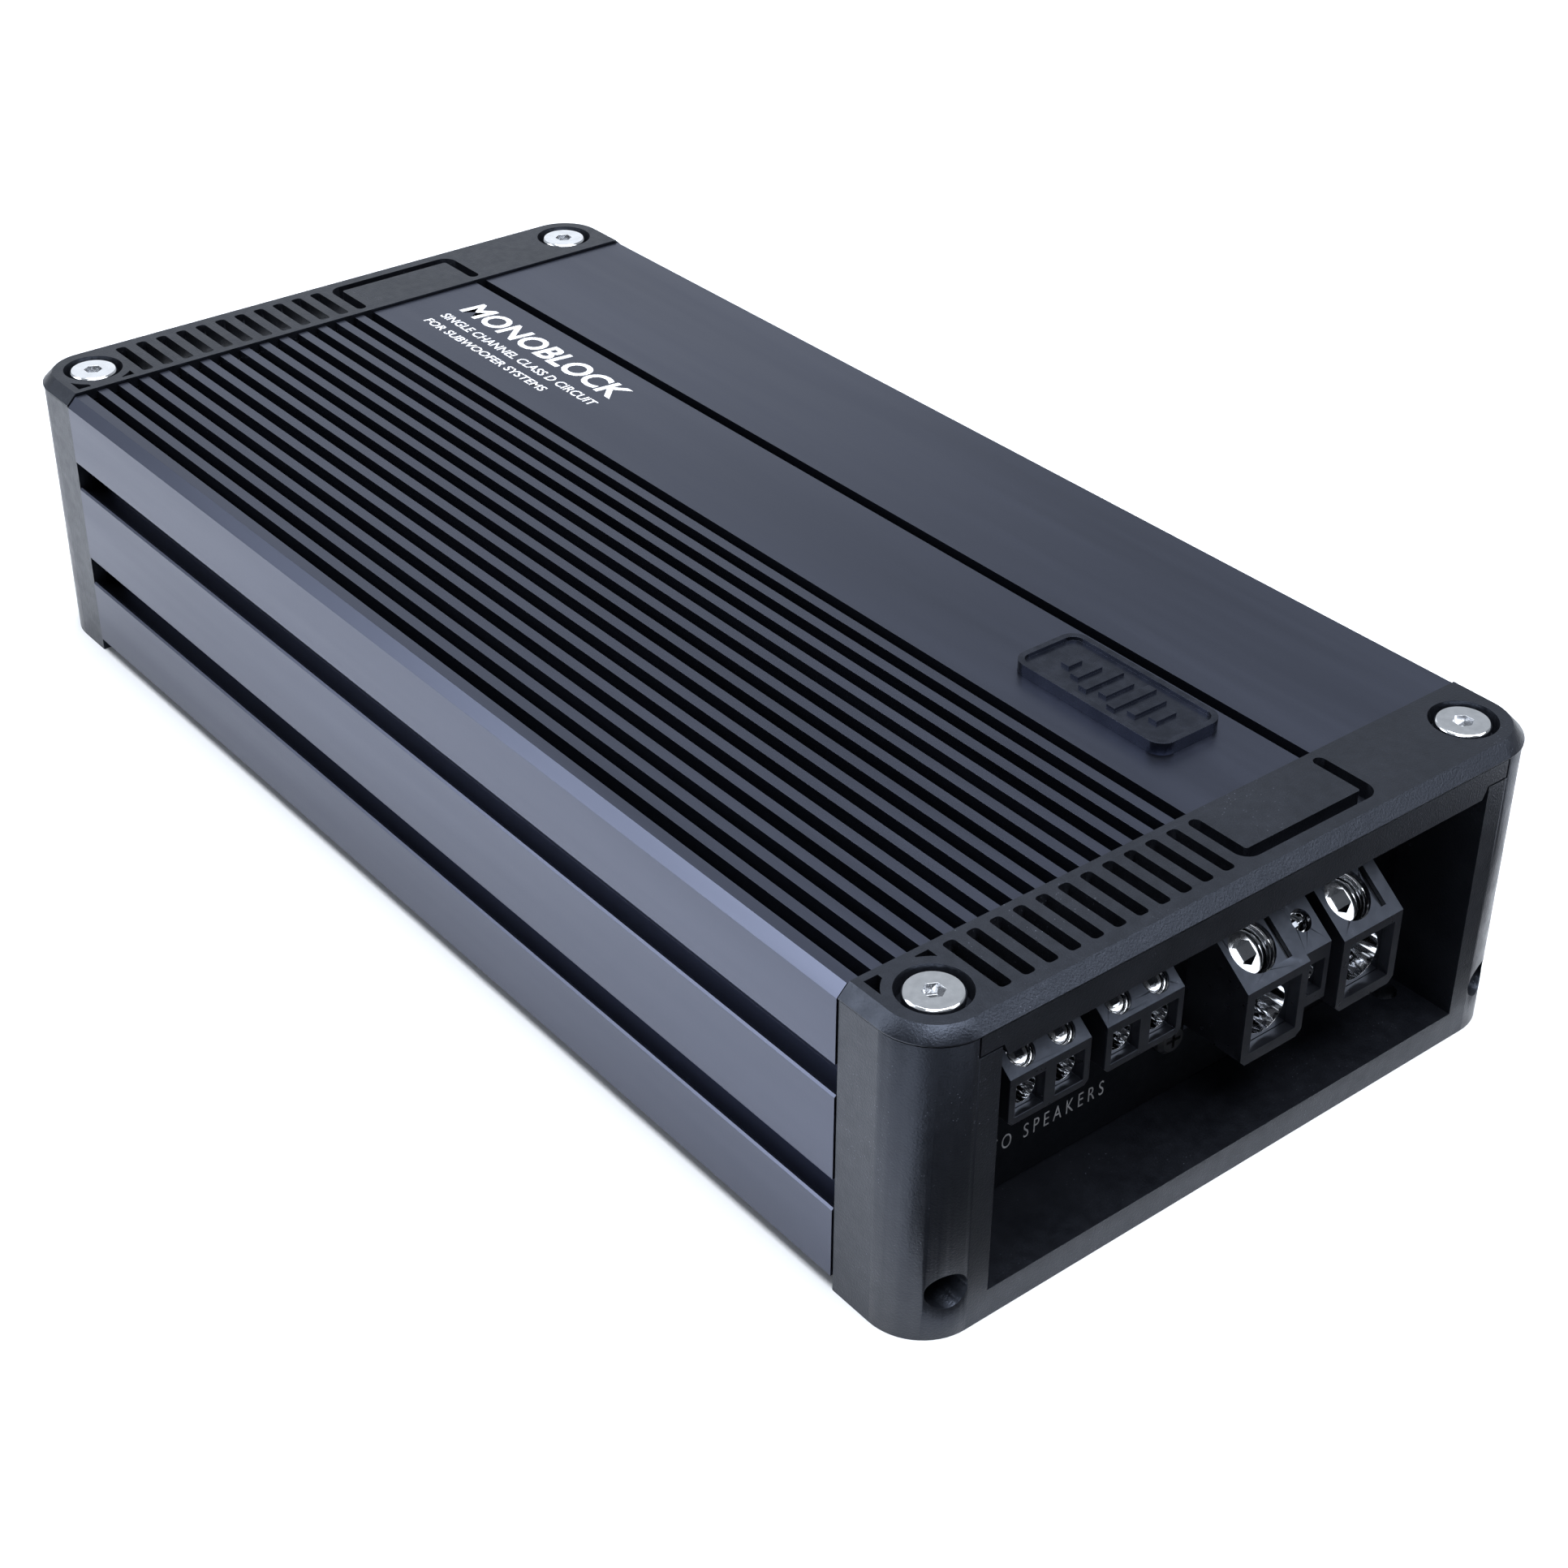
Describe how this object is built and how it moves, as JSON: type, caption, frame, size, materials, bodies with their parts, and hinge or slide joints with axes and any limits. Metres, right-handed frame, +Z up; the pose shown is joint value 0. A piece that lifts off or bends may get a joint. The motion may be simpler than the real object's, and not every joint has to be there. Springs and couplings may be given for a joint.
{
  "type": "car amplifier",
  "caption": "Black car amplifier: finned extruded case, a louvred cover over the sockets at each end, clamp-screw power and speaker terminals, and rotary controls at the far end.",
  "frame": {"origin": "middle of the footprint, on the surface the end frames stand on", "axes": "+X along the case towards the power and speaker terminals, -Y towards the finned long side, +Z up"},
  "size_m": [0.267, 0.13, 0.0577],
  "materials": {
    "black_anodised": "satin black anodised aluminium",
    "black_steel": "black coated steel sheet",
    "black_screw": "blackened steel",
    "black_textured": "fine-grained black plastic",
    "bright_screw": "bright plated steel",
    "panel_black": "matt black powder coat with a white legend",
    "badge_metal": "dark anodised with a polished rim",
    "terminal_plastic": "moulded thermoplastic, slight sheen",
    "nickel": "nickel plate",
    "circuit_board": "green solder mask",
    "brass": "turned brass",
    "ferrite": "grey ferrite",
    "coil_core": "yellow coated iron powder",
    "copper": "bare copper",
    "capacitor_sleeve": "dark blue sleeve",
    "chip_plastic": "black moulding compound",
    "insulator": "pale insulating sheet",
    "bar_steel": "plain steel",
    "pot_case": "blue moulded case",
    "light_pipe": "clear lens"
  },
  "bodies": {
    "case": {"heatsink": "black_anodised", "bottom_plate": "black_steel", "bottom_plate_screws": "black_screw", "power_end_frame": "black_textured", "control_end_frame": "black_textured", "frame_screws": "black_screw", "power_end_panel": "panel_black", "control_end_panel": "panel_black", "panel_screws": "black_screw", "badge": "badge_metal", "speaker_terminal_a": "terminal_plastic", "speaker_terminal_b": "terminal_plastic", "speaker_clamp_blocks": "nickel", "power_terminal": "terminal_plastic", "power_clamp_blocks": "nickel", "main_board": "circuit_board", "board_standoffs": "brass", "board_screws": "bright_screw", "transformer_core": "ferrite", "transformer_winding": "copper", "output_coil_core": "coil_core", "output_coil_winding": "copper", "capacitors": "capacitor_sleeve", "bus_bars": "copper", "power_transistors": "chip_plastic", "transistor_insulators": "insulator", "clamp_bars": "bar_steel", "clamp_bar_screws": "bright_screw", "driver_board": "circuit_board", "control_board": "circuit_board", "control_board_spacers": "insulator", "rca_bodies": "chip_plastic", "rca_sleeves": "nickel", "pot_bodies": "pot_case", "phase_switch_body": "bar_steel", "remote_socket": "chip_plastic", "indicator_leds": "light_pipe"},
    "ground_clamp_pad": {"ground_clamp_pad": "nickel"},
    "ground_clamp_screw": {"ground_clamp_screw": "nickel"},
    "supply_clamp_pad": {"supply_clamp_pad": "nickel"},
    "supply_clamp_screw": {"supply_clamp_screw": "nickel"},
    "remote_clamp_pad": {"remote_clamp_pad": "nickel"},
    "remote_clamp_screw": {"remote_clamp_screw": "nickel"},
    "speaker_clamp_1_pad": {"speaker_clamp_pad_1": "nickel"},
    "speaker_clamp_1_screw": {"speaker_clamp_screw_1": "nickel"},
    "speaker_clamp_2_pad": {"speaker_clamp_pad_2": "nickel"},
    "speaker_clamp_2_screw": {"speaker_clamp_screw_2": "nickel"},
    "speaker_clamp_3_pad": {"speaker_clamp_pad_3": "nickel"},
    "speaker_clamp_3_screw": {"speaker_clamp_screw_3": "nickel"},
    "speaker_clamp_4_pad": {"speaker_clamp_pad_4": "nickel"},
    "speaker_clamp_4_screw": {"speaker_clamp_screw_4": "nickel"},
    "gain_control": {"gain_knob": "chip_plastic"},
    "lowpass_control": {"lowpass_knob": "chip_plastic"},
    "subsonic_control": {"subsonic_knob": "chip_plastic"},
    "bass_control": {"bass_knob": "chip_plastic"},
    "phase_control": {"phase_switch_slider": "chip_plastic"},
    "power_cover": {"power_end_cover": "black_textured", "power_cover_screws": "bright_screw"},
    "control_cover": {"control_end_cover": "black_textured", "control_cover_screws": "bright_screw"}
  },
  "joints": [
    {"name": "ground_clamp_advance", "type": "slide", "parent": "case", "child": "ground_clamp_pad", "axis": [-0.6157, 0, -0.788], "range_m": [-0.002, 0.003]},
    {"name": "ground_clamp_turn", "type": "hinge", "parent": "ground_clamp_pad", "child": "ground_clamp_screw", "pos_m": [0.12579, 0.0079, 0.03486], "axis": [-0.6157, 0, -0.788], "range_deg": [-577, 865]},
    {"name": "supply_clamp_advance", "type": "slide", "parent": "case", "child": "supply_clamp_pad", "axis": [-0.6157, 0, -0.788], "range_m": [-0.002, 0.003]},
    {"name": "supply_clamp_turn", "type": "hinge", "parent": "supply_clamp_pad", "child": "supply_clamp_screw", "pos_m": [0.12579, 0.0294, 0.03486], "axis": [-0.6157, 0, -0.788], "range_deg": [-577, 865]},
    {"name": "remote_clamp_advance", "type": "slide", "parent": "case", "child": "remote_clamp_pad", "axis": [-0.6157, 0, -0.788], "range_m": [-0.001, 0.0015]},
    {"name": "remote_clamp_turn", "type": "hinge", "parent": "remote_clamp_pad", "child": "remote_clamp_screw", "pos_m": [0.12579, 0.01875, 0.03486], "axis": [-0.6157, 0, -0.788], "range_deg": [-721, 1081]},
    {"name": "speaker_clamp_1_advance", "type": "slide", "parent": "case", "child": "speaker_clamp_1_pad", "axis": [-0.6157, 0, -0.788], "range_m": [-0.0008, 0.002]},
    {"name": "speaker_clamp_1_turn", "type": "hinge", "parent": "speaker_clamp_1_pad", "child": "speaker_clamp_1_screw", "pos_m": [0.12508, -0.03935, 0.03827], "axis": [-0.6157, 0, -0.788], "range_deg": [-412.4, 1029.6]},
    {"name": "speaker_clamp_2_advance", "type": "slide", "parent": "case", "child": "speaker_clamp_2_pad", "axis": [-0.6157, 0, -0.788], "range_m": [-0.0008, 0.002]},
    {"name": "speaker_clamp_2_turn", "type": "hinge", "parent": "speaker_clamp_2_pad", "child": "speaker_clamp_2_screw", "pos_m": [0.12508, -0.03155, 0.03827], "axis": [-0.6157, 0, -0.788], "range_deg": [-412.4, 1029.6]},
    {"name": "speaker_clamp_3_advance", "type": "slide", "parent": "case", "child": "speaker_clamp_3_pad", "axis": [-0.6157, 0, -0.788], "range_m": [-0.0008, 0.002]},
    {"name": "speaker_clamp_3_turn", "type": "hinge", "parent": "speaker_clamp_3_pad", "child": "speaker_clamp_3_screw", "pos_m": [0.12508, -0.02035, 0.03827], "axis": [-0.6157, 0, -0.788], "range_deg": [-412.4, 1029.6]},
    {"name": "speaker_clamp_4_advance", "type": "slide", "parent": "case", "child": "speaker_clamp_4_pad", "axis": [-0.6157, 0, -0.788], "range_m": [-0.0008, 0.002]},
    {"name": "speaker_clamp_4_turn", "type": "hinge", "parent": "speaker_clamp_4_pad", "child": "speaker_clamp_4_screw", "pos_m": [0.12508, -0.01255, 0.03827], "axis": [-0.6157, 0, -0.788], "range_deg": [-412.4, 1029.6]},
    {"name": "gain_turn", "type": "hinge", "parent": "case", "child": "gain_control", "pos_m": [-0.118, 0.016, 0.033], "axis": [-1, 0, 0], "range_deg": [-140, 140]},
    {"name": "lowpass_turn", "type": "hinge", "parent": "case", "child": "lowpass_control", "pos_m": [-0.118, 0.0255, 0.033], "axis": [-1, 0, 0], "range_deg": [-140, 140]},
    {"name": "subsonic_turn", "type": "hinge", "parent": "case", "child": "subsonic_control", "pos_m": [-0.118, 0.035, 0.033], "axis": [-1, 0, 0], "range_deg": [-140, 140]},
    {"name": "bass_turn", "type": "hinge", "parent": "case", "child": "bass_control", "pos_m": [-0.118, 0.0445, 0.033], "axis": [-1, 0, 0], "range_deg": [-140, 140]},
    {"name": "phase_slide", "type": "slide", "parent": "case", "child": "phase_control", "axis": [0, 1, 0], "range_m": [-0.001, 0.001]},
    {"name": "power_cover_lift", "type": "slide", "parent": "case", "child": "power_cover", "axis": [0, 0, 1], "range_m": [0, 0.03]},
    {"name": "control_cover_lift", "type": "slide", "parent": "case", "child": "control_cover", "axis": [0, 0, 1], "range_m": [0, 0.03]}
  ],
  "couplings": [
    {"joint": "ground_clamp_turn", "follows": "ground_clamp_advance", "rad_per_m": 5026.5},
    {"joint": "supply_clamp_turn", "follows": "supply_clamp_advance", "rad_per_m": 5026.5},
    {"joint": "remote_clamp_turn", "follows": "remote_clamp_advance", "rad_per_m": 12566},
    {"joint": "speaker_clamp_1_turn", "follows": "speaker_clamp_1_advance", "rad_per_m": 8976},
    {"joint": "speaker_clamp_2_turn", "follows": "speaker_clamp_2_advance", "rad_per_m": 8976},
    {"joint": "speaker_clamp_3_turn", "follows": "speaker_clamp_3_advance", "rad_per_m": 8976},
    {"joint": "speaker_clamp_4_turn", "follows": "speaker_clamp_4_advance", "rad_per_m": 8976}
  ]
}
